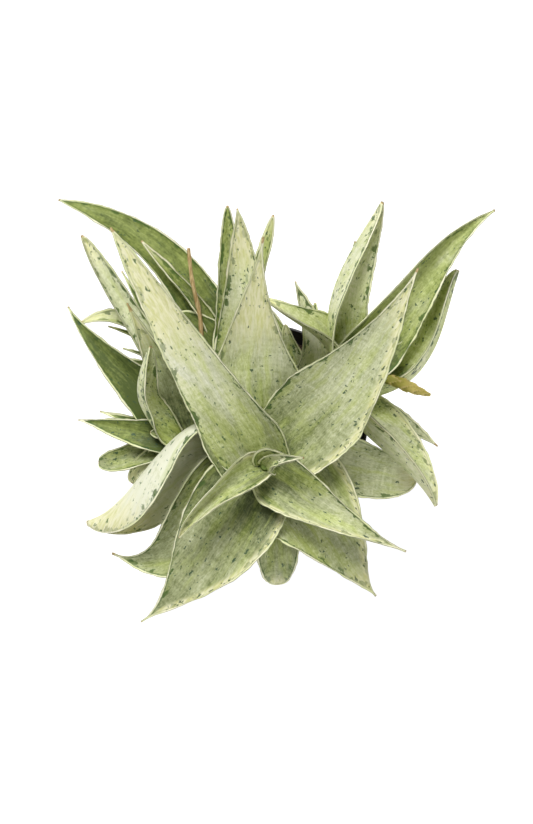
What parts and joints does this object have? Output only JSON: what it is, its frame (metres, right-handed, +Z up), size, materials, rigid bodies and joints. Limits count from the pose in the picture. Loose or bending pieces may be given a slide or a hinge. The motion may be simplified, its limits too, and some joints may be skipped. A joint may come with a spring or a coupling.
{
  "type": "potted snow drift aloe",
  "caption": "Clump of pale, dark-flecked pointed succulent leaves in spreading rosettes with young offsets, rooted in potting mix in a plain round nursery pot.",
  "frame": {"origin": "middle of the pot's underside, on the surface that it stands on", "axes": "+Z up along the pot's axis, -Y to the front, where the largest rosette leans out over the rim, +X to the right"},
  "size_m": [0.2149, 0.1983, 0.2071],
  "materials": {
    "pale_leaf": "matte",
    "green_leaf": "matte",
    "stem": "matte",
    "dry_stalk": "matte",
    "bud": "matte",
    "potting_mix": "matte",
    "pot_plastic": "satin"
  },
  "bodies": {
    "root": {"main_stem": "stem", "right_stem": "stem", "back_stem": "stem", "left_stem": "stem", "main_leaf_01": "pale_leaf", "main_leaf_02": "pale_leaf", "main_leaf_03": "pale_leaf", "main_leaf_04": "pale_leaf", "main_leaf_05": "pale_leaf", "main_leaf_06": "pale_leaf", "main_leaf_07": "pale_leaf", "main_leaf_08": "pale_leaf", "main_leaf_09": "pale_leaf", "main_leaf_10": "pale_leaf", "main_leaf_11": "pale_leaf", "main_leaf_12": "pale_leaf", "main_leaf_13": "pale_leaf", "right_leaf_01": "green_leaf", "right_leaf_02": "green_leaf", "right_leaf_03": "green_leaf", "right_leaf_04": "green_leaf", "right_leaf_05": "green_leaf", "right_leaf_06": "green_leaf", "right_leaf_07": "green_leaf", "right_leaf_08": "green_leaf", "right_leaf_09": "green_leaf", "back_leaf_01": "green_leaf", "back_leaf_02": "green_leaf", "back_leaf_03": "green_leaf", "back_leaf_04": "green_leaf", "back_leaf_05": "green_leaf", "back_leaf_06": "green_leaf", "back_leaf_07": "green_leaf", "left_leaf_01": "green_leaf", "left_leaf_02": "green_leaf", "left_leaf_03": "green_leaf", "left_leaf_04": "green_leaf", "left_leaf_05": "green_leaf", "left_leaf_06": "green_leaf", "left_leaf_07": "green_leaf", "left_leaf_08": "green_leaf", "left_leaf_09": "green_leaf", "back_pup": "green_leaf", "left_pup": "green_leaf", "dry_stalk": "dry_stalk", "bud_shoot": "bud", "pot": "pot_plastic", "soil": "potting_mix"}
  },
  "joints": []
}
